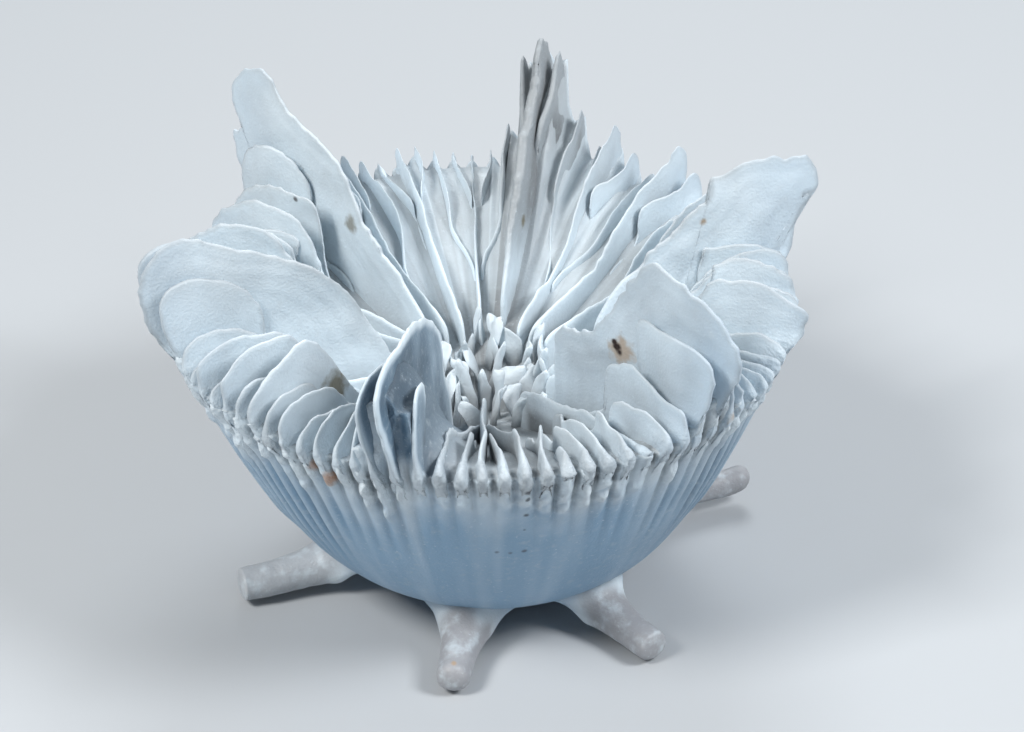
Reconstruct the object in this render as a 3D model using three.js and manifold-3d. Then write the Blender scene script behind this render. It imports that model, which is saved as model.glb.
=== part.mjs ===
// A solitary cup coral: one free-living corallum, a bowl of 96 radial septa with six tall lancets,
// a low twisted columella and six blunt spines round its base.
// Millimetres, +Z up. The origin is the middle of the flat scar under the base.
// Azimuths are degrees from the front (-Y), growing towards +X. An outline is a list of
// [radius, height] points in the upright plane of its septum.

import * as THREE from 'three';
import { mergeVertices } from 'three/addons/utils/BufferGeometryUtils.js';
import Module from 'manifold-3d';

const wasm = await Module();
wasm.setup();

// Cup
const RIM_RADIUS = 18.3;
const RIM_HEIGHT = 17.2;
const SCAR_RADIUS = 2.4;
const RIM_SHIFT_X = -0.69;
const RIM_SHIFT_Y = 0.4;
const CUP_OUTSIDE = [[SCAR_RADIUS, 0], [6.8, 1.0], [10.8, 3.5], [13.6, 7.3], [16.1, 12.2]];
const CUP_INSIDE = [[14.6, 11.6]];
const FLOOR_HEIGHT = 7.0;
const SEPTA_PER_COLUMN = 2;
const LANCET_FLARE = 0.18;
const LANCET_FILL = 0.87;
const LANCET_CLEARANCE = 1.2;

// Septa: sixteen to a system, one system from each primary to the next
const SYSTEM = 16;
const PRIMARY_AZIMUTHS = [-16, 46.5, 106.5, 167, 227, 287];
const SEPTA = SYSTEM * PRIMARY_AZIMUTHS.length;
const THICKNESS = { 1: 0.6, 2: 0.5, 3: 0.46, 4: 0.42, 5: 0.4 };
const RISE_BY_STEP = [0, 5.8, 3.6, 2.8, 2.7, 2.0, 2.7, 3.4, 4.4];
const FLANK_GAIN = [1.0, 1.0, 1.05, 1.38, 1.15, 1.0];
const MIDDLE_GAIN = [0.3, 1.0, 1.0, 1.0, 1.0, 0.9];
const BROKEN_SEPTUM = 8;
const BED = [[4.0, 6.2], [14.3, 10.4], [17.3, 15.8]];
const COSTA_FOOT = [16.5, 13.3];
const COSTA_RELIEF = 0.4;

// Free edges of the six primary septa, from the outside of the rim over the top to the columella
const PRIMARY_EDGES = [
  [[19.1, 17.6], [20.9, 20.6], [20.3, 23.3], [17.0, 25.4], [13.2, 25.3], [11.0, 22.0], [9.0, 18.6], [6.2, 15.4]],
  [[18.9, 18.3], [20.5, 21.4], [20.5, 22.9], [18.6, 24.7], [15.8, 25.8], [13.9, 25.9], [11.6, 23.1],
    [9.9, 20.5], [8.3, 19.2], [6.3, 18.4], [5.9, 14.0]],
  [[19.6, 18.4], [20.1, 21.2], [20.9, 23.4], [20.5, 24.9], [19.1, 25.4], [16.5, 25.2], [14.7, 24.2],
    [14.0, 22.5], [9.9, 18.7], [7.3, 15.6]],
  [[19.2, 18.6], [19.7, 22.6], [18.2, 26.3], [15.8, 24.0], [12.3, 21.5], [8.8, 18.5], [5.8, 15.5]],
  [[19.4, 17.1], [20.8, 19.6], [21.1, 21.5], [20.7, 24.5], [19.1, 26.4], [17.5, 26.6], [14.9, 24.5],
    [12.1, 23.2], [11.2, 22.4], [9.3, 19.7], [4.9, 14.9]],
  [[18.8, 17.4], [20.1, 19.8], [20.3, 22.5], [19.1, 24.5], [17.3, 25.0], [14.4, 23.9], [11.5, 22.7],
    [9.8, 21.7], [8.1, 19.9], [6.7, 17.4], [5.8, 15.7]],
];

// Columella
const COLUMELLA_RADIUS = 4.3;
const COLUMELLA_HEIGHT = 12.6;
const LATHS = 11;
const LATH_WIDTH = 1.5;
const LATH_THICKNESS = 0.55;
const LATH_TOP = 14.3;

// Basal spines: azimuth, radius and axis height of each tip
const SPINE_ROOT_RADIUS = 6.4;
const SPINE_ROOT_HEIGHT = 3.3;
const SPINE_SIDES = 8;
const SPINE_PROFILE = [[0, 1.9], [0.3, 1.95], [0.56, 1.3], [0.94, 1.1], [1, 0.6]];
const SPINES = [
  { azimuth: -9, reach: 15.2, height: 1.12 },
  { azimuth: 40, reach: 15.0, height: 1.12 },
  { azimuth: 111, reach: 17.3, height: 2.0 },
  { azimuth: 168, reach: 16.2, height: 1.3 },
  { azimuth: -130, reach: 16.2, height: 1.2 },
  { azimuth: -71, reach: 16.2, height: 1.2 },
];

// Azimuth of septum k
function azimuthOf(k) {
  const system = Math.floor(k / SYSTEM);
  const from = PRIMARY_AZIMUTHS[system % PRIMARY_AZIMUTHS.length];
  const next = PRIMARY_AZIMUTHS[(system + 1) % PRIMARY_AZIMUTHS.length];
  const span = next > from ? next - from : next + 360 - from;
  return from + span * (k / SYSTEM - system);
}

// Steps from septum k to the nearest primary, 0 to 8
function stepsToPrimary(k) {
  const step = k % SYSTEM;
  return Math.min(step, SYSTEM - step);
}

function cycleOf(k) {
  const steps = stepsToPrimary(k);
  if (steps === 0) return 1;
  if (steps === 8) return 2;
  if (steps === 4) return 3;
  return steps % 2 === 0 ? 4 : 5;
}

// Height of septum k above the rim
function riseOf(k) {
  const primary = Math.round(k / SYSTEM) % PRIMARY_AZIMUTHS.length;
  const steps = stepsToPrimary(k);
  if (steps === 0) return Math.max(...PRIMARY_EDGES[primary].map((point) => point[1])) - RIM_HEIGHT;
  const gain = steps < 3 ? FLANK_GAIN[primary] : MIDDLE_GAIN[Math.floor(k / SYSTEM)];
  return RISE_BY_STEP[steps] * gain;
}

// The wall climbs to just under the top of each septum
function wallRise(k) {
  return LANCET_FILL * Math.max(0, riseOf(k) - LANCET_CLEARANCE);
}

// The cup leans a little, so a height carries its points sideways in proportion
function lean(geometry) {
  const shear = new THREE.Matrix4().set(
    1, 0, RIM_SHIFT_X / RIM_HEIGHT, 0,
    0, 1, RIM_SHIFT_Y / RIM_HEIGHT, 0,
    0, 0, 1, 0,
    0, 0, 0, 1,
  );
  return geometry.applyMatrix4(shear);
}

function toSolid(geometry) {
  const bare = geometry.index ? geometry.toNonIndexed() : geometry;
  bare.deleteAttribute('normal');
  bare.deleteAttribute('uv');
  const merged = mergeVertices(bare, 1e-4);
  const corners = merged.index.array;
  const triangles = [];
  for (let i = 0; i < corners.length; i += 3) {
    const [a, b, c] = [corners[i], corners[i + 1], corners[i + 2]];
    if (a !== b && b !== c && c !== a) triangles.push(a, b, c);
  }
  return new wasm.Manifold(new wasm.Mesh({
    numProp: 3,
    vertProperties: new Float32Array(merged.attributes.position.array),
    triVerts: new Uint32Array(triangles),
  }));
}

function toGeometry(solid) {
  const mesh = solid.getMesh();
  const geometry = new THREE.BufferGeometry();
  geometry.setAttribute('position', new THREE.BufferAttribute(mesh.vertProperties, 3));
  geometry.setIndex(new THREE.BufferAttribute(mesh.triVerts, 1));
  geometry.computeVertexNormals();
  return geometry;
}

// The cup is a lathed shell whose sharp rim is raised and flared into the lancets. Its columns
// stand inside every second septum
function cup() {
  const outside = [[0, 0], ...CUP_OUTSIDE];
  const profile = [...outside, [RIM_RADIUS, RIM_HEIGHT], ...CUP_INSIDE, [0, FLOOR_HEIGHT]];
  const points = profile.map(([radius, height]) => new THREE.Vector2(radius, height));
  const columns = SEPTA / SEPTA_PER_COLUMN;
  const geometry = new THREE.LatheGeometry(points, columns);
  const position = geometry.attributes.position;
  for (let column = 0; column <= columns; column += 1) {
    const k = (column % columns) * SEPTA_PER_COLUMN;
    const azimuth = THREE.MathUtils.degToRad(azimuthOf(k));
    for (let row = 0; row < profile.length; row += 1) {
      const rise = row === outside.length ? wallRise(k) : 0;
      const radius = profile[row][0] + LANCET_FLARE * rise;
      const index = column * profile.length + row;
      position.setXYZ(index, radius * Math.sin(azimuth), -radius * Math.cos(azimuth), profile[row][1] + rise);
    }
  }
  return toSolid(lean(geometry));
}

// Free edge of a septum that isn't a primary, over its rounded crest and down to its inner end
function minorEdge(k) {
  const rise = riseOf(k);
  const cycle = cycleOf(k);
  const crest = [
    [RIM_RADIUS + COSTA_RELIEF + 0.1 * rise, RIM_HEIGHT + 0.6 * rise],
    [RIM_RADIUS - 1.2, RIM_HEIGHT + rise],
    [RIM_RADIUS - 4.0, RIM_HEIGHT + 0.7 * rise],
  ];
  if (k === BROKEN_SEPTUM) return [...crest.slice(0, 1), [RIM_RADIUS - 1.5, RIM_HEIGHT + 1.0], [14.6, 14.8]];
  if (cycle <= 3) return [...crest, [10.2, 16.2], [6.5, 15.0], [4.3, 13.8]];
  if (cycle === 4) return [...crest, [11.2, 15.8], [8.2, 14.2]];
  return [...crest, [13.4, 15.6]];
}

// A septum is an upright plate: its costa outside the wall, its free edge, and a foot in the wall
function septum(k) {
  const cycle = cycleOf(k);
  const edge = cycle === 1 ? PRIMARY_EDGES[k / SYSTEM] : minorEdge(k);
  const inner = edge[edge.length - 1][0];
  const foot = BED.filter(([radius]) => radius > inner + 0.4);
  const innerFoot = heightOnBed(inner);
  const outline = [COSTA_FOOT, ...edge, [inner, innerFoot], ...foot];
  const shape = new THREE.Shape(outline.map(([radius, height]) => new THREE.Vector2(radius, height)));
  const thickness = THICKNESS[cycle];
  const geometry = new THREE.ExtrudeGeometry(shape, { depth: thickness, bevelEnabled: false });
  geometry.translate(0, 0, -thickness / 2);
  geometry.rotateX(Math.PI / 2);
  geometry.rotateZ(THREE.MathUtils.degToRad(azimuthOf(k) - 90));
  return toSolid(lean(geometry));
}

// Height of the buried line of the septa at a radius
function heightOnBed(radius) {
  const after = BED.findIndex((point) => point[0] >= radius);
  const [r0, z0] = BED[after - 1];
  const [r1, z1] = BED[after];
  return z0 + (z1 - z0) * (radius - r0) / (r1 - r0);
}

function columellaCore() {
  const points = [[0, FLOOR_HEIGHT - 0.6], [COLUMELLA_RADIUS + 0.8, FLOOR_HEIGHT - 0.6],
    [COLUMELLA_RADIUS, COLUMELLA_HEIGHT], [0, COLUMELLA_HEIGHT + 0.2]];
  const geometry = new THREE.LatheGeometry(points.map(([r, z]) => new THREE.Vector2(r, z)), 18);
  geometry.rotateX(Math.PI / 2);
  return toSolid(lean(geometry));
}

// A lath is a small leaning block, turned by the golden angle from the one before
function columellaLath(index) {
  const turn = index * Math.PI * (3 - Math.sqrt(5));
  const radius = (COLUMELLA_RADIUS - 0.5) * Math.sqrt((index + 0.3) / LATHS);
  const height = LATH_TOP - COLUMELLA_HEIGHT + 0.6 + 0.35 * Math.sin(index * 2.1);
  const geometry = new THREE.BoxGeometry(LATH_WIDTH, LATH_THICKNESS, height);
  geometry.rotateX(0.3 * Math.sin(index * 1.7));
  geometry.rotateZ(turn * 1.37);
  geometry.translate(radius * Math.cos(turn), radius * Math.sin(turn), COLUMELLA_HEIGHT - 0.6 + height / 2);
  return toSolid(lean(geometry));
}

// A spine is a lathed horn, wide where it leaves the cup and blunt at its tip
function spine({ azimuth, reach, height }) {
  const length = reach - SPINE_ROOT_RADIUS;
  const points = SPINE_PROFILE.map(([share, radius]) => new THREE.Vector2(radius, share * length));
  const closed = [new THREE.Vector2(0, 0), ...points, new THREE.Vector2(0, length)];
  const geometry = new THREE.LatheGeometry(closed, SPINE_SIDES, Math.PI / SPINE_SIDES);
  geometry.rotateZ(-Math.PI / 2);
  const position = geometry.attributes.position;
  for (let i = 0; i < position.count; i += 1) {
    const share = position.getX(i) / length;
    const axisHeight = height + (SPINE_ROOT_HEIGHT - height) * (1 - share) ** 2;
    position.setXYZ(i, position.getX(i) + SPINE_ROOT_RADIUS, position.getY(i), position.getZ(i) + axisHeight);
  }
  geometry.rotateZ(THREE.MathUtils.degToRad(azimuth - 90));
  return toSolid(geometry);
}

function aragonite() {
  return new THREE.MeshStandardMaterial({ color: 0xe4ebee, roughness: 0.55, metalness: 0 });
}

function corallum() {
  const pieces = [columellaCore()];
  for (let k = 0; k < SEPTA; k += 1) pieces.push(septum(k));
  for (let index = 0; index < LATHS; index += 1) pieces.push(columellaLath(index));
  for (const each of SPINES) pieces.push(spine(each));
  const solid = pieces.reduce((whole, piece) => whole.add(piece), cup());
  const mesh = new THREE.Mesh(toGeometry(solid), aragonite());
  mesh.name = 'corallum';
  return mesh;
}

const group = new THREE.Group();
group.add(corallum());

export default group;
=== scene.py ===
"""A solitary cup coral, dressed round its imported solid.

The coral is one skeleton: a bowl-shaped wall with fine ribs, 96 radial septa that stand above the rim as
lobes and six tall lancets, a columella of twisted laths in the middle and six blunt spines round the base.
Every surface here is worked out in millimetres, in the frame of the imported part, and set down in metres.

Azimuths are degrees from the front (-Y), growing towards +X. An outline is a list of (radius, height)
points in the upright plane of its septum, before the slight lean of the cup is added.
"""

import logging
import math
from dataclasses import dataclass, field
from enum import Enum, IntEnum
from itertools import product

import bmesh
import bpy
import numpy as np
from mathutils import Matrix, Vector


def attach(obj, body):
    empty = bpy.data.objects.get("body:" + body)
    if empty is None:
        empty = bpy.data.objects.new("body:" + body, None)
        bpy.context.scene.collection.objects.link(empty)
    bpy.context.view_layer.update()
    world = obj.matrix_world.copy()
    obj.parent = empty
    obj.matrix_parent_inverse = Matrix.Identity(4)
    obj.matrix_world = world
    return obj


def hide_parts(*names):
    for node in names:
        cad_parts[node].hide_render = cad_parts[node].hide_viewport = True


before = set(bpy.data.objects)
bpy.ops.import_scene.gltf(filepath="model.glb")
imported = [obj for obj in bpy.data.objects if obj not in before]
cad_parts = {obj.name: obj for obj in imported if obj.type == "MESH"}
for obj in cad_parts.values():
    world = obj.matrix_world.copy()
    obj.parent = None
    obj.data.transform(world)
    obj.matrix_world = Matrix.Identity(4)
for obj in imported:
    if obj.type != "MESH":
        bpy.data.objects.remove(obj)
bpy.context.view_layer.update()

Array = np.ndarray
Number = np.ndarray | float
Point = tuple[float, float]
Place = tuple[float, float, float]
Colour = tuple[float, float, float, float]

MM = 0.001
NODE = "corallum"
BODY = "root"
LOG = logging.getLogger("cup_coral")

# Azimuths of the smooth front, of the shallow gaps beside the front lancet, of the back and of two lancets
FRONT = 10.0
FRONT_GAPS = 5.0
BACK = 170.0
FRONT_LANCET = -14.5
BACK_LANCET = 167.0


class Seed(IntEnum):
    """The first seed of each kind of random draw."""

    RIM = 3
    WALL = 5
    CLOUD = 9
    EDGE = 11
    STREAK = 15
    GAPS = 21
    SPINE = 31
    LATH_SKIN = 61
    BLADE = 101
    LATH = 400
    FOOT = 700
    CREST = 900


def ease(value: Number, start: float = 0.0, span: Number = 1.0) -> Array:
    """Rise smoothly from 0 to 1 as the value goes from the start over the span.

    The share of the span, held between 0 and 1, gives three times its square less twice its cube.

    Args:
        value: the numbers to ease.
        start: where the rise starts.
        span: how far it is from there to the full height; a negative span makes a fall.

    Returns:
        Numbers from 0 to 1.
    """
    share = np.clip((value - start) / span, 0.0, 1.0)
    return share * share * (3.0 - 2.0 * share)


def bell(value: Number) -> Array:
    """A bump of height 1 at 0 that falls off as exp of minus the square."""
    return np.exp(-np.square(value))


def turned(azimuth: Number, middle: float) -> Number:
    """Degrees from the middle round to the azimuth, from -180 to 180."""
    return (azimuth - middle + 180.0) % 360.0 - 180.0


def near(azimuth: Number, middle: float, width: float) -> Array:
    """How near an azimuth is to the middle, as a bell of this width in degrees."""
    return bell(turned(azimuth, middle) / width)


def spread(*parts: Number) -> Array:
    """Points from their x, y and z, each spread to the shape that all share."""
    return np.stack(np.broadcast_arrays(*parts), axis=-1)


@dataclass(frozen=True)
class LatticeNoise:
    """Smooth seeded noise on an unending cubic lattice."""

    seed: int

    def sample(self, points: Array, size: float) -> Array:
        """Blend the numbers of a cell's eight corners with smooth weights.

        Args:
            points: positions in millimetres, the last axis holding x, y and z.
            size: the lattice step in millimetres.

        Returns:
            Values from -1 to 1, one for each position.
        """
        scaled = np.asarray(points, float) / size
        cell = np.floor(scaled).astype(np.int64)
        part = scaled - cell
        weight = part * part * (3.0 - 2.0 * part)
        total = np.zeros(scaled.shape[:-1])
        for corner in product((0, 1), repeat=3):
            total += self._draw(cell + corner) * np.prod(np.where(corner, weight, 1.0 - weight), axis=-1)
        return total

    def layered(self, points: Array, size: float, layers: int) -> Array:
        """Add up finer and weaker copies of the noise, each half the size and half the strength."""
        return sum(self.sample(points, size / 2**n) / 2**n for n in range(layers))

    def _draw(self, cell: Array) -> Array:
        """Hash the corners of cells by multiplying, mixing and shifting bits.

        Args:
            cell: whole-number corners, the last axis holding x, y and z.

        Returns:
            Values from -1 to 1, one for each corner.
        """
        mixed = (cell[..., 0] * 73856093) ^ (cell[..., 1] * 19349663) ^ (cell[..., 2] * 83492791)
        mixed = (mixed ^ (self.seed * 40503 + 977)) & 0x7FFFFFFF
        mixed = ((mixed ^ (mixed >> 13)) * 1274126177) & 0x7FFFFFFF
        mixed = ((mixed ^ (mixed >> 15)) * 668265263) & 0x7FFFFFFF
        return ((mixed ^ (mixed >> 14)) & 0xFFFFF) / 524287.5 - 1.0


def spline(points: list[Point], count: int) -> Array:
    """Carry a smooth curve through the points and space samples evenly along it.

    A cubic joins each point to the next. Its slope at a point is half the step from the one before to
    the one after.

    Args:
        points: the points of the outline in order.
        count: how many samples to return.

    Returns:
        An array of count rows, one sample each.
    """
    knots = np.asarray(points, float)
    last = len(knots) - 1
    t = np.linspace(0.0, last, 24 * last + 1)
    i = np.minimum(t.astype(int), last - 1)
    f = (t - i)[:, None]
    before, start = knots[np.maximum(i - 1, 0)], knots[i]
    end, after = knots[i + 1], knots[np.minimum(i + 2, last)]
    slope_in, slope_out = (end - before) / 2.0, (after - start) / 2.0
    curve = ((2 * f**3 - 3 * f**2 + 1) * start + (f**3 - 2 * f**2 + f) * slope_in
             + (3 * f**2 - 2 * f**3) * end + (f**3 - f**2) * slope_out)
    length = np.concatenate([[0.0], np.cumsum(np.linalg.norm(np.diff(curve, axis=0), axis=1))])
    even = np.linspace(0.0, length[-1], count)
    return np.stack([np.interp(even, length, curve[:, axis]) for axis in range(curve.shape[1])], axis=1)


@dataclass
class Surface:
    """Vertices, faces and per-vertex values of a piece, gathered before it becomes a mesh."""

    vertices: list[Array] = field(default_factory=list)
    faces: list[Array] = field(default_factory=list)
    values: dict[str, list[Array]] = field(default_factory=dict)
    count: int = 0

    def add_grid(self, grid: Array, wrap: bool = False, **values: Number) -> None:
        """Join a grid of points into quads.

        Args:
            grid: points of shape (rows, columns, 3) in millimetres; the quads of row i, column j run
                from it to the next column and the next row.
            wrap: whether the last column joins the first.
            values: named values of shape (rows, columns), kept as vertex attributes.
        """
        rows, columns = grid.shape[:2]
        index = np.arange(rows * columns).reshape(rows, columns) + self.count
        right = np.roll(index, -1, axis=1) if wrap else index[:, 1:]
        left = index if wrap else index[:, :-1]
        quads = np.stack([left[:-1], right[:-1], right[1:], left[1:]], axis=-1).reshape(-1, 4)
        self.vertices.append(grid.reshape(-1, 3))
        self.faces.append(quads)
        self.count += rows * columns
        for name, value in values.items():
            self.values.setdefault(name, []).append(np.broadcast_to(value, (rows, columns)).reshape(-1))

    def to_object(self, name: str, material: bpy.types.Material) -> bpy.types.Object:
        """Make a smooth-shaded mesh object in metres, with doubles merged and faces turned outwards.

        Args:
            name: the piece's name.
            material: its only material.

        Returns:
            The linked object, riding on the coral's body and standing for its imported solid.
        """
        mesh = bpy.data.meshes.new(name)
        vertices = np.concatenate(self.vertices) * MM
        faces = np.concatenate(self.faces)
        mesh.from_pydata(vertices.tolist(), [], faces.tolist())
        for label, parts in sorted(self.values.items()):
            attribute = mesh.attributes.new(label, "FLOAT", "POINT")
            attribute.data.foreach_set("value", np.concatenate(parts).astype(np.float32))
        piece = bpy.data.objects.new(name, mesh)
        bpy.context.scene.collection.objects.link(piece)
        mesh.materials.append(material)
        close_mesh(mesh)
        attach(piece, BODY)
        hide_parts(NODE)
        return piece


def close_mesh(mesh: bpy.types.Mesh, gap: float = 2e-6, sliver: float = 1e-6) -> None:
    """Merge doubled vertices at seams and poles, turn the faces outwards and shade them smooth.

    Args:
        mesh: the mesh, in metres.
        gap: vertices that are nearer than this become one.
        sliver: edges that are shorter than this go.
    """
    shell = bmesh.new()
    shell.from_mesh(mesh)
    bmesh.ops.remove_doubles(shell, verts=shell.verts, dist=gap)
    bmesh.ops.dissolve_degenerate(shell, edges=shell.edges, dist=sliver)
    bmesh.ops.recalc_face_normals(shell, faces=shell.faces)
    shell.to_mesh(mesh)
    shell.free()
    mesh.shade_smooth()


class Cycle(Enum):
    """The five sizes of septa, from the six tall primaries to the many slight ones of the last cycle."""

    PRIMARY = 1
    SECONDARY = 2
    TERTIARY = 3
    QUATERNARY = 4
    QUINARY = 5


@dataclass(frozen=True)
class CupForm:
    """The driving sizes of the coral, shared by its wall, septa, columella and spines."""

    rim_radius: float = 18.3
    rim_height: float = 17.2
    rim_shift: Point = (-0.69, 0.4)
    primary_azimuths: tuple[float, ...] = (FRONT_LANCET, 46.5, 106.5, BACK_LANCET, 227.0, 287.0)
    system: int = 16
    outside: tuple[Point, ...] = (
        (0.0, 0.0), (2.4, 0.0), (6.8, 1.0), (10.8, 3.5), (13.6, 7.3), (16.1, 12.2), (18.3, 17.2))
    floor_height: float = 10.4
    broken: int = 8
    rises: tuple[float, ...] = (
        8.4, 5.2, 0.9, 0.8, 0.8, 0.6, 0.8, 0.9, 0.9, 0.8, 0.8, 1.0, 1.2, 1.5, 2.4, 5.4,
        8.4, 4.2, 2.4, 1.5, 1.2, 1.0, 0.9, 1.3, 3.6, 2.0, 2.0, 2.0, 3.0, 2.0, 2.6, 2.4,
        8.4, 4.5, 3.0, 2.4, 3.4, 1.8, 1.0, 2.2, 3.7, 1.9, 1.2, 1.9, 3.9, 2.2, 4.4, 8.0,
        9.0, 7.3, 2.9, 0.9, 0.6, 0.8, 1.1, 1.4, 1.5, 0.5, 1.0, 1.6, 2.2, 2.6, 3.0, 4.6,
        9.2, 5.6, 3.4, 2.0, 3.2, 1.8, 2.4, 2.0, 3.8, 2.2, 2.6, 1.8, 3.2, 2.2, 4.4, 6.8,
        8.0, 5.0, 2.8, 1.8, 3.2, 1.8, 3.4, 2.2, 3.6, 2.2, 2.6, 1.5, 2.0, 1.6, 2.6, 5.6)

    @property
    def septa(self) -> int:
        """The number of septa."""
        return self.system * len(self.primary_azimuths)

    def azimuth(self, k: Number) -> Array:
        """Azimuth in degrees of septum k, or between two septa where k has a fraction."""
        corners = np.array(self.primary_azimuths + (self.primary_azimuths[0] + 360.0,))
        return np.interp(np.mod(k, self.septa) / self.system, np.arange(len(corners)), corners)

    def steps(self, k: int) -> int:
        """Steps from septum k to the nearest primary, 0 to 8."""
        step = k % self.system
        return min(step, self.system - step)

    def cycle(self, k: int) -> Cycle:
        """The cycle that septum k belongs to, by its steps to the nearest primary."""
        named = {0: Cycle.PRIMARY, 8: Cycle.SECONDARY, 4: Cycle.TERTIARY}
        return named.get(self.steps(k), Cycle.QUINARY if k % 2 else Cycle.QUATERNARY)

    def rise(self, k: Array | int) -> Array:
        """Height of septum k above the low rim; a row of the rises starts with each primary."""
        return np.array(self.rises)[np.mod(k, self.septa)]

    def place(self, radius: Number, azimuth: Number, height: Number, aside: Number = 0.0) -> Array:
        """Turn radius, azimuth and height into leaning x, y and z.

        Args:
            radius: distance from the upright axis.
            azimuth: degrees from the front.
            height: height over the surface the coral rests on.
            aside: a step square to the upright plane at that azimuth, towards larger azimuths.

        Returns:
            Points with the axis of x, y and z last. The lean shifts them in proportion to height.
        """
        angle = np.radians(azimuth)
        lean = height / self.rim_height
        x = radius * np.sin(angle) + aside * np.cos(angle) + self.rim_shift[0] * lean
        y = -radius * np.cos(angle) + aside * np.sin(angle) + self.rim_shift[1] * lean
        return spread(x, y, height)


@dataclass(frozen=True)
class Bend:
    """Which neighbour a septum leans towards, by what share of the way, and inside which radius."""

    towards: int
    share: float
    radius: float


@dataclass(frozen=True)
class Blade:
    """The points of one septum's two faces, their depth behind the free edge and the plate's noise."""

    radius: Array
    height: Array
    depth: Array
    spots: Array
    noise: LatticeNoise


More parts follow.
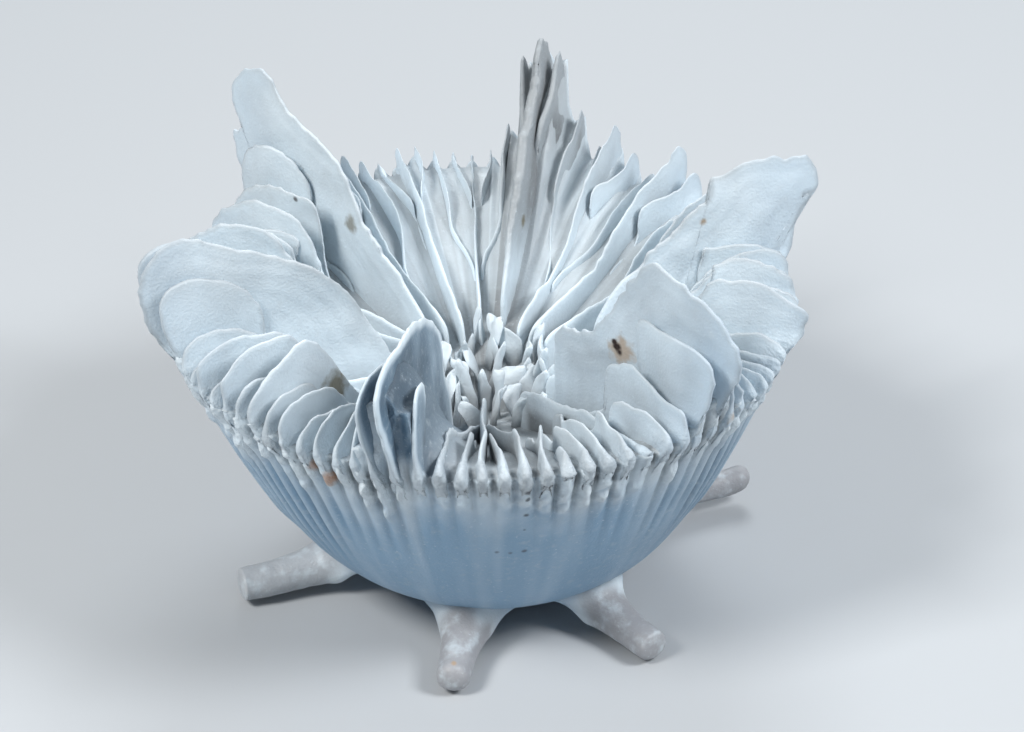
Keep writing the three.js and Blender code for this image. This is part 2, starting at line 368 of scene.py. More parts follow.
@dataclass
class Septum:
    """One upright radial plate, from its rib on the wall over its free edge to its inner end."""

    cup: CupForm
    index: int
    crest: list[Point]
    descent: list[Point]
    floor: Point
    wall_thickness: float
    blade_thickness: float
    along: int
    across: int
    bend: Bend | None
    jag: float
    fullness: float
    taper: float
    outer_heights: Point = (13.4, 14.6)
    shoulder: Point = (17.35, 15.2)
    sill_height: float = 16.7
    heel: Point = (15.4, 12.6)
    swell_size: float = 1.7
    notch_size: float = 0.9
    grain_size: float = 0.45
    edge_width: float = 0.26
    tip_length: float = 2.2
    growth_step: float = 0.95
    lump_size: float = 0.8
    cloud_size: float = 2.6
    sector: float = 3.8
    smoky_azimuth: float = 320.0
    wash_azimuth: float = 46.0

    @property
    def azimuth(self) -> float:
        """Azimuth of the plate in degrees."""
        return float(self.cup.azimuth(self.index))

    def outline(self) -> tuple[Array, Array]:
        """The free edge and the buried foot line, which part at the wall and meet again at the floor.

        Returns:
            Two arrays of (radius, height), evenly spaced from the outer end to the inner end.
        """
        low = np.random.default_rng(Seed.FOOT + self.index).uniform(*self.outer_heights)
        outer = (low * 0.44 + 10.2, low)
        sill = (self.cup.rim_radius + 0.12, self.sill_height)
        edge = spline([outer, self.shoulder, sill, *self.crest, *self.descent, self.floor], self.along)
        return self._roughen(edge), spline([outer, self.heel, self.floor], self.along)

    def _roughen(self, edge: Array) -> Array:
        """Push the free edge in and out along its own normal: slow waves, small notches and fine grain.

        Args:
            edge: the free edge, one (radius, height) a row.

        Returns:
            The ragged edge, still where it starts and ends.
        """
        tangent = np.gradient(edge, axis=0)
        tangent /= np.linalg.norm(tangent, axis=1, keepdims=True) + 1e-9
        normal = np.stack([tangent[:, 1], -tangent[:, 0]], axis=1)
        spot = spread(edge[:, 0], edge[:, 1], self.index * 7.3)
        noise = LatticeNoise(Seed.EDGE + self.index)
        swell, grain = noise.sample(spot, self.swell_size), noise.sample(spot, self.grain_size)
        notch = 0.45 - 1.5 * np.abs(noise.sample(spot, self.notch_size))
        depth = self.jag * (0.8 * swell + notch + 0.4 * grain)
        way = np.linspace(0.0, 9.0, len(edge))
        ends = ease(way, 0.6) * ease(way[::-1], 1.2)
        return edge + normal * (depth * ends)[:, None]

    def add_to(self, surface: Surface) -> None:
        """Add the plate as one closed sheet: up one face, over the rounded edge and down the other.

        A point lies at a share of the way from the foot line to the free edge. It stands aside of the
        middle plane by half the thickness, with the sign of its face, plus the bend and the wave.

        Args:
            surface: the surface that takes the plate.
        """
        edge, foot = self.outline()
        rising = 1.0 - np.linspace(1.0, 0.0, self.across) ** 1.7
        share = np.concatenate([rising, rising[-2::-1]])
        side = np.concatenate([np.ones(self.across - 1), [0.0], -np.ones(self.across - 1)])
        radius = foot[:, :1] + (edge[:, :1] - foot[:, :1]) * share
        height = foot[:, 1:] + (edge[:, 1:] - foot[:, 1:]) * share
        spots = spread(radius, height, self.index * 5.7)
        noise = LatticeNoise(Seed.BLADE + self.index)
        blade = Blade(radius, height, self._depth(radius, height, edge), spots, noise)
        aside = side * self._half_thickness(blade) + self._bent(radius) + self._wave(blade)
        # Grey-brown that is partly painted shade, blue, and the dark of painted shade on the front lancet.
        shade, blue, dark = self._tones(blade)
        knob = ease(radius, 16.8, 1.0) * ease(height, 18.6, -1.2)
        surface.add_grid(self.cup.place(radius, self.azimuth, height, aside),
                         shade=shade, blue=blue, groove=dark, knob=knob)

    def _depth(self, radius: Array, height: Array, edge: Array) -> Array:
        """Distance from the points to the nearest sample of the free edge.

        Args:
            radius: radius of the points, a column each for the rows of both faces.
            height: height of the points.
            edge: the free edge.

        Returns:
            Distances, worked out on one face and mirrored for the other.
        """
        out = radius[:, :self.across, None] - edge[:, 0]
        up = height[:, :self.across, None] - edge[:, 1]
        away = np.hypot(out, up).min(axis=2)
        away[:, -1] = 0.0
        return np.concatenate([away, away[:, -2::-1]], axis=1)

    def _tones(self, blade: Blade) -> tuple[Array, Array, Array]:
        """Shares of grey-brown, porcelain blue and the dark of painted shade that tint the white blade.

        The grey-brown lies behind the white free edge, mostly at the back and in front of the columella,
        partly as the see-through tone of thin plates and partly as painted shade; deep between the plates
        it is painted shade. More of it tints the edges of the side lobes, partly as a see-through grey and
        partly as painted contact shade, and the upper part of the back lancet, the low front septa and the
        smoky ones left of the front lancet. Blue and the dark of painted shade cover the front lancet, and
        a wash of blue the outer parts of all lobes.

        Args:
            blade: the points of the plate.

        Returns:
            Three grids of shares from 0 to 1.
        """
        azimuth, radius, height, depth = self.azimuth, blade.radius, blade.height, blade.depth
        cloud = blade.noise.layered(blade.spots, self.cloud_size, 3)
        thin = 0.6 * near(azimuth, BACK, 42.0) + 0.8 * near(azimuth, FRONT, 30.0)
        # Painted shade, darker deep down between the plates.
        deep = ease(height, 16.0, -5.0) * ease(radius, 16.5, -3.0)
        shade = ease(depth + 0.25 * cloud, 0.35, 1.6) * (0.85 * thin * (0.75 + 0.5 * cloud) + 0.6 * deep)
        # Along the side lobes' free edges: partly a see-through grey outline, partly painted contact shade.
        lobe_edge = np.sin(np.radians(azimuth)) ** 2 * (1.0 - ease(depth, 0.06, 0.3)) * ease(height, 17.6)
        spire = near(azimuth, BACK_LANCET, 13.0) * ease(height, 15.0, 4.0)
        brow = near(azimuth, FRONT, 26.0) * ease(height, 19.8, -1.5)
        smoky = near(azimuth, self.smoky_azimuth, 9.0) * ease(height, 20.4, -1.2)
        shade = shade + 0.42 * lobe_edge + 0.78 * spire
        shade = shade + (0.5 + 0.25 * cloud) * brow + (0.22 + 0.2 * cloud) * smoky
        # The front lancet: blue, and darkened with painted shade.
        front = near(azimuth, -14.0, 6.0) * ease(depth, 0.2, 0.5) * ease(radius, 6.0, 4.0)
        front = front * np.clip(0.9 + 0.25 * cloud, 0.0, 1.0)
        wash = 0.22 * ease(radius + cloud, 15.0, 5.0) + 0.16 * near(azimuth, self.wash_azimuth, 16.0)
        return np.clip(shade, 0.0, 1.0), np.clip(front + wash, 0.0, 1.0), 0.72 * front

    def _half_thickness(self, blade: Blade) -> Array:
        """Half the plate's thickness, rounded at its edge by a root of one minus the square.

        The plate is thick and lumpy in the rim's knobs, thin in the blade and at a tapered tip, and never
        fills more than its sector. Fine ridges of growth follow the free edge.

        Args:
            blade: the points of the plate.

        Returns:
            A grid of half thicknesses in millimetres.
        """
        radius, height, depth = blade.radius, blade.height, blade.depth
        knob = ease(radius, 15.8, 2.0) * ease(height, 18.5, -1.5)
        thickness = self.blade_thickness + (self.wall_thickness - self.blade_thickness) * knob
        thickness = thickness * (1.0 + (self.fullness - 1.0) * ease(radius, 5.0, 7.0))
        thickness = thickness * (0.72 + 0.28 * ease(depth, span=2.5) + 0.35 * ease(radius, 5.5, -2.0))
        below_tip = ease(height.max() - height, span=self.tip_length)
        thickness = thickness * (1.0 - self.taper * (1.0 - below_tip))
        thickness = np.minimum(thickness, 0.93 * radius * math.radians(self.sector))
        phase = depth * 2 * math.pi / self.growth_step + 2.2 * blade.noise.sample(blade.spots, 2.4)
        ridges = np.sin(phase) * ease(depth, span=0.8)
        lumps = blade.noise.layered(blade.spots, self.lump_size, 3) * (0.2 + 3.4 * knob)
        rounding = np.sqrt(1.0 - np.square(1.0 - np.clip(depth / self.edge_width, 0.0, 1.0)))
        return rounding * (thickness / 2 + 0.014 * ridges + 0.036 * lumps)

    def _wave(self, blade: Blade) -> Array:
        """A slow sideways wave of the blade, nearly still where the plate stands in the wall and its webs.

        Args:
            blade: the points of the plate.

        Returns:
            A grid of steps aside in millimetres.
        """
        free = 0.35 + 0.65 * ease(blade.height, 14.0, 5.0)
        held = bell((blade.radius - 18.5) / 1.7) * ease(blade.height, 21.6, -2.0)
        swing = 0.26 * blade.noise.sample(blade.spots, 4.5) + 0.09 * blade.noise.sample(blade.spots, 1.6)
        return free * (1.0 - 0.9 * held) * swing

    def _bent(self, radius: Array) -> Array:
        """Step aside towards a larger neighbour, growing inwards from the bend's radius.

        Args:
            radius: radius of the points.

        Returns:
            A grid of steps aside in millimetres.
        """
        if self.bend is None:
            return np.zeros_like(radius)
        gap = math.radians(turned(float(self.cup.azimuth(self.bend.towards)), self.azimuth))
        return radius * gap * self.bend.share * ease(radius, self.bend.radius, -4.0)


# Crests that the photograph shows from the side, from the outside of the rim inwards
PRIMARY_EDGES: tuple[tuple[Point, ...], ...] = (
    ((18.9, 17.2), (20.2, 20.2), (20.9, 23.0), (19.6, 24.1), (17.0, 24.3), (14.0, 24.1), (11.5, 23.2),
     (9.4, 21.9), (8.2, 20.3), (8.1, 18.3), (7.4, 15.6)),
    ((18.9, 18.3), (20.5, 21.4), (20.5, 22.9), (18.6, 24.7), (15.8, 25.8), (13.9, 25.9), (11.6, 23.1),
     (9.9, 20.5), (8.3, 19.2), (6.3, 18.4), (5.9, 14.0)),
    ((19.6, 18.4), (20.0, 20.2), (20.9, 21.75), (20.35, 22.0), (21.25, 22.3), (21.3, 23.4), (20.8, 24.5),
     (20.1, 24.65), (19.3, 24.4), (18.4, 24.75), (16.3, 24.5), (15.4, 23.9), (14.6, 23.7), (14.2, 22.3),
     (9.9, 18.7), (7.3, 15.6)),
    ((19.2, 18.6), (19.7, 22.6), (18.2, 26.3), (15.8, 24.0), (12.3, 21.5), (8.8, 18.5), (5.8, 15.5)),
    ((19.4, 17.1), (20.4, 19.3), (20.9, 21.0), (20.95, 21.8), (20.1, 22.2), (20.45, 22.9), (20.7, 24.4),
     (20.0, 25.8), (18.9, 26.5), (17.5, 26.6), (14.9, 24.5), (12.1, 23.2), (11.2, 22.4), (9.3, 19.7),
     (4.9, 14.9)),
    ((18.8, 17.4), (20.1, 19.8), (20.3, 22.5), (19.1, 24.5), (17.3, 25.0), (14.4, 23.9), (11.5, 22.7),
     (9.8, 21.7), (8.1, 19.9), (6.7, 17.4), (5.8, 15.7)),
)
SHOWN_CRESTS: dict[int, tuple[Point, ...]] = {
    1: ((18.7, 17.3), (19.0, 19.8), (18.4, 22.0), (17.2, 22.5), (15.6, 21.4), (14.4, 18.9)),
    95: ((18.9, 17.4), (20.1, 20.0), (20.7, 22.2), (19.8, 23.2), (17.6, 23.3), (15.2, 22.4), (13.6, 19.8)),
    12: ((18.8, 17.6), (18.6, 17.5), (16.7, 17.1), (12.6, 16.8)),
    14: ((18.8, 17.8), (18.4, 19.1), (16.4, 19.2), (15.0, 19.7), (13.8, 20.0), (11.8, 19.0)),
    15: ((18.6, 17.9), (19.4, 19.9), (19.8, 21.5), (19.0, 22.5), (17.4, 22.7), (15.4, 22.5), (13.1, 21.9)),
    24: ((18.9, 17.2), (19.7, 18.7), (19.8, 19.8), (18.4, 20.6), (17.0, 21.5), (15.3, 21.6), (13.9, 21.0)),
    28: ((18.9, 17.7), (18.4, 19.4), (17.0, 20.2), (15.0, 20.5), (14.0, 20.2), (13.6, 19.6)),
    31: ((19.0, 17.5), (18.4, 19.0), (16.5, 19.7), (14.6, 19.5), (13.8, 19.2)),
    79: ((18.9, 18.0), (19.8, 20.4), (20.2, 22.6), (19.0, 24.0), (16.8, 24.2), (14.6, 22.8)),
    81: ((18.9, 18.3), (19.5, 20.4), (19.3, 21.9), (18.4, 22.7), (16.6, 22.7), (14.5, 21.6), (13.2, 19.5)),
    84: ((18.8, 18.0), (18.7, 19.6), (16.6, 20.5), (14.9, 20.3), (12.9, 19.6)),
    86: ((18.7, 17.6), (18.8, 19.2), (18.4, 19.9), (17.1, 20.8), (15.5, 21.0), (13.6, 20.5)),
    88: ((18.3, 16.9), (18.8, 18.3), (18.1, 19.6), (15.7, 20.8), (13.4, 21.0)),
}


class Crest(Enum):
    """The shapes of the crests that the photograph doesn't show from the side."""

    ROUND = "round"
    NEEDLE = "needle"
    LOBE = "lobe"


# For each point of a crest: its step out from the rim, more for each mm of rise, more for the plate's own
# lean; then its share of the rise, and more for the plate's own lift
CREST_POINTS: dict[Crest, tuple[tuple[float, ...], ...]] = {
    Crest.ROUND: ((0.35, 0.0, 0.0, 0.22, 0.0), (0.0, 0.0, 0.0, 0.55, 0.0), (-1.4, 0.0, 0.0, 0.88, 0.0),
                  (-3.4, 0.0, 1.0, 1.04, 0.5), (-6.0, 0.0, 0.0, 0.9, 0.0)),
    Crest.NEEDLE: ((0.35, 0.0, 0.0, 0.35, 0.0), (0.3, 0.04, 0.0, 0.8, 0.0), (-0.25, 0.0, 0.0, 1.06, 1.0),
                   (-1.5, 0.0, 0.3, 0.86, 0.0), (-4.2, 0.0, 0.0, 0.55, 1.0)),
    Crest.LOBE: ((0.4, 0.06, 0.0, 0.3, 0.0), (0.2, 0.02, 0.0, 0.72, 0.0), (-0.7, 0.0, 0.5, 0.97, 0.4),
                 (-2.0, 0.0, 1.0, 1.0, 0.5), (-4.2, 0.0, 0.0, 0.66, 0.0)),
}


@dataclass(frozen=True)
class CycleForm:
    """What the septa of one cycle share: their thickness, their grid and how they come down inside."""

    thickness: float
    along: int
    across: int
    descent: tuple[Point, ...] = ()


CYCLE_FORMS: dict[Cycle, CycleForm] = {
    Cycle.PRIMARY: CycleForm(0.42, 260, 29),
    Cycle.SECONDARY: CycleForm(0.36, 180, 22, ((10.2, 16.2), (6.8, 15.0), (4.4, 14.2), (3.8, 12.6))),
    Cycle.TERTIARY: CycleForm(0.32, 140, 20, ((10.4, 16.0), (7.0, 14.9), (4.6, 14.0), (4.2, 12.4))),
    Cycle.QUATERNARY: CycleForm(0.3, 104, 16, ((11.4, 16.0), (8.8, 14.9), (8.2, 13.4))),
    Cycle.QUINARY: CycleForm(0.28, 72, 12, ((13.4, 16.3), (11.4, 15.4), (10.6, 14.2))),
}


@dataclass
class Septa:
    """All 96 septa, one piece for each cycle.

    The fuller ones start beside the back lancet, the ragged ones have notched edges, and the sides are
    the azimuths between which the crests are round lobes or needles.
    """

    cup: CupForm
    broken_crest: tuple[Point, ...] = ((18.6, 17.3), (17.4, 18.0), (15.6, 17.2))
    broken_descent: tuple[Point, ...] = ((14.8, 15.4), (14.4, 14.0))
    back_lancet: int = 48
    fuller: tuple[float, ...] = (1.1, 1.5, 1.1, 0.5)
    ragged: range = range(2, 78)
    round_side: Point = (231.0, 283.0)
    needle_side: Point = (125.0, 216.0)

    def septum(self, k: int) -> Septum:
        """Work out septum k from its cycle, its place and the crests that the photograph shows.

        Args:
            k: the septum's number, counted from the front lancet towards larger azimuths.

        Returns:
            The septum, ready to be added to a surface.
        """
        cycle = self.cup.cycle(k)
        form = CYCLE_FORMS[cycle]
        crest, descent = SHOWN_CRESTS.get(k) or self._crest(k), form.descent
        if cycle is Cycle.PRIMARY:
            crest = PRIMARY_EDGES[k // self.cup.system]
            descent = ((crest[-1][0] - 0.4, 13.0),)
        elif k == self.cup.broken:
            crest, descent = self.broken_crest, self.broken_descent
        inner = descent[-1][0] - 0.1
        fuller = dict(enumerate(self.fuller, self.back_lancet - 1)).get(k, 0.0)
        back = float(bell((self.cup.azimuth(k) - 168.0) / 46.0))
        return Septum(
            cup=self.cup, index=k, crest=list(crest), descent=list(descent),
            floor=(inner, self.cup.floor_height - 0.6 + 0.22 * max(0.0, inner - 3.0)),
            wall_thickness=0.74 + 0.2 * float(near(self.cup.azimuth(k), FRONT, 50.0)),
            blade_thickness=form.thickness, along=form.along, across=form.across,
            bend=self._bend(k, cycle), jag=self._jag(k, cycle), fullness=1.0 - 0.3 * back + fuller,
            taper=0.35 if abs(k - self.back_lancet) < 3 else 0.72 * min(1.0, 1.4 * back),
        )

    def _jag(self, k: int, cycle: Cycle) -> float:
        """How ragged the edge of septum k is: the front and left lobes are smooth, the others notched.

        Args:
            k: the septum's number.
            cycle: its cycle.

        Returns:
            The depth of its notches in millimetres.
        """
        if k not in self.ragged:
            return 0.09
        return 0.2 if cycle is Cycle.PRIMARY else 0.15

    def _crest(self, k: int) -> tuple[Point, ...]:
        """A crest as high as septum k rises: needles at the back, round lobes at the left, others between.

        Args:
            k: the septum's number.

        Returns:
            Points of the crest, from the outside of the rim inwards.
        """
        rise = float(self.cup.rise(k))
        draw = np.random.default_rng(Seed.CREST + k)
        lift, lean = draw.uniform(-0.3, 0.3), draw.uniform(-0.6, 0.6)
        azimuth = float(self.cup.azimuth(k))
        style = Crest.LOBE
        if self.round_side[0] < azimuth < self.round_side[1]:
            style = Crest.ROUND
        elif self.needle_side[0] < azimuth < self.needle_side[1]:
            style = Crest.NEEDLE
        rim, low = self.cup.rim_radius, self.cup.rim_height
        return tuple((rim + out + grown * rise + leant * lean, low + share * rise + lifted * lift)
                     for out, grown, leant, share, lifted in CREST_POINTS[style])

    def _bend(self, k: int, cycle: Cycle) -> Bend | None:
        """The bend of septum k: the slightest two cycles lean towards the larger neighbour in their pair.

        Args:
            k: the septum's number.
            cycle: its cycle.

        Returns:
            The bend, or None for a straight septum.
        """
        if cycle is Cycle.QUATERNARY:
            return Bend(k + 2 if k // 2 % 4 == 1 else k - 2, 0.82, 12.5)
        if cycle is Cycle.QUINARY:
            inward = -1 if k % self.cup.system < 8 else 1
            towards = k + inward if self.cup.steps(k) in (1, 5) else k - inward
            at_front = abs(turned(float(self.cup.azimuth(k)), FRONT_GAPS)) < 28.0
            return Bend(towards, 0.42 if at_front else 0.7, 17.0)
        return None

    def build(self, finish: "Aragonite") -> list[bpy.types.Object]:
        """Make one piece for each cycle of septa.

        Args:
            finish: the skeleton's finish.

        Returns:
            The five pieces, tallest cycle first.
        """
        pieces = []
        for cycle in Cycle:
            surface = Surface()
            for k in range(self.cup.septa):
                if self.cup.cycle(k) is cycle:
                    self.septum(k).add_to(surface)
            pieces.append(surface.to_object(f"septa_{cycle.name.lower()}", finish.material()))
        return pieces


@dataclass(frozen=True)
class FloorLifts:
    """How far the floor between the septa is raised at some radii, for each stretch of the cup.

    The last row is the share of the web's height by which the floor climbs near the lancets.
    """

    radii: tuple[float, ...] = (0.0, 5.0, 10.0, 13.6, 16.4, 17.5)
    front: tuple[float, ...] = (0.0, 1.0, 2.3, 2.6, 1.7, 0.5)
    back: tuple[float, ...] = (0.0, 2.0, 3.5, 3.6, 2.1, 0.8)
    side: tuple[float, ...] = (0.0, 0.8, 1.9, 2.3, 1.7, 0.3)
    lancet: tuple[float, ...] = (0.0, 0.0, 2.0, 3.2, 2.2, 0.9)
    climb: tuple[float, ...] = (0.0, 0.0, 0.0, 0.45, 0.8, 0.85)

    def at(self, radius: Array, lifts: tuple[float, ...]) -> Array:
        """One row of lifts at a radius."""
        return np.interp(radius, self.radii, lifts)


@dataclass
class Wall:
    """The bowl-shaped wall with its ribs, its rim that rises between the lancets' septa and its inside."""

    cup: CupForm
    columns: int = 960
    lower_rows: int = 42
    upper_rows: int = 22
    inner_rows: int = 17
    profile_samples: int = 400
    even_height: float = 13.4
    rib_height: float = 0.46
    knob_height: float = 0.5
    knob_foot: float = 13.5
    knob_fade: float = 1.9
    flare: float = 0.18
    thickness: float = 0.45
    inside: tuple[Point, ...] = ((17.5, 16.6), (16.4, 15.2), (13.6, 13.2), (10.0, 11.8), (5.0, 10.8))
    lifts: FloorLifts = FloorLifts()
    noise: LatticeNoise = LatticeNoise(Seed.WALL)

    def build(self, finish: "Aragonite") -> bpy.types.Object:
        """Sweep the wall's profile round the axis, over the rim and down the inside.

        Args:
            finish: the skeleton's finish.

        Returns:
            The wall's piece, closed over the rim and at both poles.
        """
        k = np.arange(self.columns) / self.columns * self.cup.septa
        azimuth = self.cup.azimuth(k)
        top = self._top(k)
        radius, height = self._outside(top)
        outer, knob, groove = self._ribbed(k, azimuth, radius, height)
        blue, groove = self._outer_tones(k, azimuth, outer, height, knob, groove)
        inner_radius, inner_height = self._inside(top, azimuth)
        inner = self.cup.place(inner_radius, azimuth, inner_height)
        inner_shade, inner_blue, inner_painted_shade = self._inner_tones(k, azimuth, inner_radius)
        surface = Surface()
        # Outside, grey-brown towards the ground is painted shade; the blue and dark shares come from the
        # tones below.
        surface.add_grid(np.concatenate([outer, inner]), wrap=True,
                         shade=np.concatenate([0.12 * ease(height, 5.0, -4.0), inner_shade]),
                         blue=np.concatenate([blue, inner_blue]),
                         groove=np.concatenate([groove, inner_painted_shade]),
                         knob=np.concatenate([knob, np.zeros_like(inner_radius)]))
        return surface.to_object("wall", finish.material())

    def _top(self, k: Array) -> Array:
        """Height of the rim: a hanging web between each septum and the next.

        The web sags from the lower of its two septa, less at the back and beside the front lancet, and
        climbs towards each of them by no more than its hug.

        Args:
            k: septum numbers, with fractions between the septa.

        Returns:
            The height for each number.
        """
        low = np.floor(k)
        part = k - low
        here, there = self.cup.rise(low.astype(int)), self.cup.rise(low.astype(int) + 1)
        azimuth = self.cup.azimuth(k)
        full = np.maximum(near(azimuth, BACK, 45.0), near(azimuth, FRONT_LANCET, 12.0))
        lancet = near(azimuth, FRONT_LANCET, 6.0)
        web = np.maximum(0.0, np.minimum(here, there) - 1.3 + 0.7 * full + 0.4 * lancet)
        sag = (0.45 + 0.53 * full) * web
        hug = 0.15 + 0.55 * full
        start, end = np.clip(here - 1.5, sag, sag + hug), np.clip(there - 1.5, sag, sag + hug)
        arc = sag + (start - sag) * (1 - ease(part, span=0.45)) + (end - sag) * ease(part, 0.55, 0.45)
        ragged = 0.12 * LatticeNoise(Seed.RIM).sample(spread(k * 1.2, 0.0, 0.0), 0.7)
        return self.cup.rim_height + np.maximum(arc, 0.0) - 0.3 * np.sin(math.pi * part) ** 2 + ragged

    def _outside(self, top: Array) -> tuple[Array, Array]:
        """Rows from the middle of the base up the outside to the rim.

        Rows below the even height follow the profile. The others share out the way up to the rim's top.

        Args:
            top: height of the rim for each column.

        Returns:
            Grids of radius and height.
        """
        curve = spline(list(self.cup.outside), self.profile_samples)
        below = curve[curve[:, 1] <= self.even_height]
        rows = np.linspace(0.0, 1.0, self.lower_rows)[:, None] + 0.0 * top
        ladder = np.linspace(0.0, 1.0, len(below))
        climb = np.linspace(0.0, 1.0, self.upper_rows + 1)[1:, None]
        upper = below[-1, 1] + climb * (top - below[-1, 1])
        radius = np.concatenate([np.interp(rows, ladder, below[:, 0]), self._outer_radius(upper)])
        return radius, np.concatenate([np.interp(rows, ladder, below[:, 1]), upper])

    def _outer_radius(self, height: Array) -> Array:
        """Radius of the wall's outside at a height, carried on with a slight flare above the rim.

        Args:
            height: heights over the surface the coral rests on.

        Returns:
            The radius at each.
        """
        curve = spline(list(self.cup.outside), self.profile_samples)
        above = np.maximum(0.0, height - self.cup.rim_height)
        return np.interp(height, curve[:, 1], curve[:, 0]) + self.flare * above

    def _ribbed(self, k: Array, azimuth: Array, radius: Array, height: Array) -> tuple[Array, Array, Array]:
        """Push the outside out into ribs and granular knobs, a crest for each septum.

        The ribs are a rounded wave round the wall, faint at the front. The knobs are the same wave, made
        stronger and broken up by noise, in a band under the rim. The slits between the ribs get painted
        shade, most at the sides and in a band under the rim.

        Args:
            k: septum numbers of the columns.
            azimuth: azimuths of the columns.
            radius: radius of the smooth outside.
            height: height of the smooth outside.

        Returns:
            The points, the share of white knob and the share of painted shade in the slits at each.
        """
        phase = np.abs(k - np.round(k)) * 2.0
        profile = 1.0 - np.power(phase, 1.8)
        base = self.cup.place(radius, azimuth, height)
        wander = self.noise.sample(spread(k * 0.9, height * 0.2, 0.0), 0.9)
        beads = self.noise.sample(spread(np.round(k) * 3.7, height, 0.0), 0.95)
        lumpy = self.noise.sample(spread(k * 0.7, height * 0.9, 5.0), 1.0)
        grain = self.noise.layered(base, 0.5, 2)
        sides = 0.5 - 0.5 * np.cos(np.radians(np.clip(turned(azimuth, FRONT), -90.0, 90.0) * 2.0))
        reach = ease(height + 6.0 * sides + 1.5 * wander, 9.0, 7.0 - 2.5 * sides)
        rib = reach * (0.2 + 0.8 * sides) * ease(height, 2.5, 4.0)
        knob = ease(height + 1.1 * wander + 0.6 * beads, self.knob_foot, self.knob_fade)
        knob = knob * np.clip(0.8 + 0.45 * lumpy, 0.2, 1.2)
        relief = self.rib_height * rib + self.knob_height * np.clip(1.0 + 0.55 * beads, 0.4, 1.6) * knob
        out = (profile - 0.5) * relief * (0.25 + 0.75 * ease(height, 19.6, -2.2))
        out = out + knob * (0.17 * grain + 0.12 * beads * profile)
        out = out + 0.05 * self.noise.sample(base, 2.6) * ease(height, span=3.0)
        out = out * ease(radius, 3.0, 3.0)
        lift = 0.45 * out * ease(height, 16.0, -4.0)
        # Painted shade in the slits between the ribs and knobs, strongest at the sides and in a band under
        # the rim.
        hollow = 0.3 + 0.4 * sides + 0.6 * bell((height - 16.4 + 0.5 * wander + 0.3 * beads) / 0.8)
        groove = ease(phase, 0.45, 0.45) * np.clip(knob + rib, 0.0, 1.0) * hollow
        groove = groove * ease(height, 19.5, -2.0) * np.clip(0.8 + 0.6 * wander, 0.0, 1.0)
        white = knob * ease(phase, 1.1, -0.6) * np.clip(0.85 + 0.5 * grain, 0.0, 1.0)
        white = np.maximum(white, 0.45 * rib * ease(phase, 0.7, -0.5)) + 0.4 * grain * knob
        points = self.cup.place(radius + out, azimuth, np.maximum(height - lift, 0.0))
        return points, np.clip(white, 0.0, 1.0), groove

    def _outer_tones(self, k: Array, azimuth: Array, points: Array, height: Array, knob: Array,
                     groove: Array) -> tuple[Array, Array]:
        """Shares of blue and of painted dark shade outside.

        Blue is strongest low on the wall and on the rim just right of the front lancet, where the
        azimuths start. That stretch of the rim is also darkened with painted shade, and the right of the
        wall is a little darker with painted shade, on top of the painted shade in the slits.

        Args:
            k: septum numbers of the columns.
            azimuth: azimuths of the columns.
            points: the points of the ribbed outside.
            height: height of the smooth outside.
            knob: the share of white knob.
            groove: the share of painted shade in the slits between the ribs.

        Returns:
            Two grids of shares from 0 to 1.
        """
        cloud = LatticeNoise(Seed.CLOUD).layered(points, 3.0, 3)
        streak = LatticeNoise(Seed.STREAK).layered(spread(k * 1.4, height * 0.1, 0.0), 1.6, 2)
        # The rim just right of the front lancet: blue, and darkened with painted shade.
        lancet = bell((azimuth + 13.7) / 5.5) * ease(height, 17.6, 1.5)
        low = ease(height - cloud, 16.6, -5.0)
        blue = np.clip(lancet + (1.0 - 0.8 * knob) * (0.15 + 0.78 * low + 0.17 * streak), 0.0, 1.0)
        # Painted shade that darkens the right of the wall, less on the knobs.
        right = bell((azimuth - 60.0) / 32.0) * (1.0 - 0.7 * knob) * ease(height, 3.0, 4.0)
        groove = np.maximum(groove * (1.0 + 0.5 * right), 0.6 * lancet) + 0.32 * right
        return blue, np.clip(groove, 0.0, 1.0)

    def _inside(self, top: Array, azimuth: Array) -> tuple[Array, Array]:
        """Rows from the rim's inner edge down to the middle of the floor.

        The gaps between the septa are shallow, most of all at the front and at the back. Near the lancets
        their floor climbs with the webs.

        Args:
            top: height of the rim for each column.
            azimuth: azimuths of the columns.

        Returns:
            Grids of radius and height.
        """
        share = np.array([0.0, 0.15, 0.6])[:, None]
        profile = spline([*self.inside, (0.0, self.cup.floor_height)], self.inner_rows - len(share))
        radius = profile[:, :1]
        front, back, rest, lancet = self._shares(azimuth)
        web = np.maximum(top - self.cup.rim_height, 0.0)
        lifts = self.lifts
        floor = profile[:, 1:] + front * lifts.at(radius, lifts.front) + back * lifts.at(radius, lifts.back)
        floor = floor + rest * lifts.at(radius, lifts.side) + lancet * lifts.at(radius, lifts.lancet)
        floor = floor + np.maximum(back, lancet) * web * lifts.at(radius, lifts.climb)
        lip = self._outer_radius(top) - self.thickness - 0.4 * share
        lip = lip + (profile[0, 0] - lip) * share * share
        height = top - 0.05 + (floor[:1] - top) * share
        return np.concatenate([lip, radius + 0.0 * web]), np.concatenate([height, floor])

    def _shares(self, azimuth: Array) -> tuple[Array, Array, Array, Array]:
        """How near an azimuth is to the front, to the back, to neither and to the front lancet, 0 to 1."""
        front, back = near(azimuth, FRONT_GAPS, 33.0), near(azimuth, BACK, 48.0)
        return front, back, np.clip(1.0 - front - back, 0.0, 1.0), near(azimuth, FRONT_LANCET, 9.0)

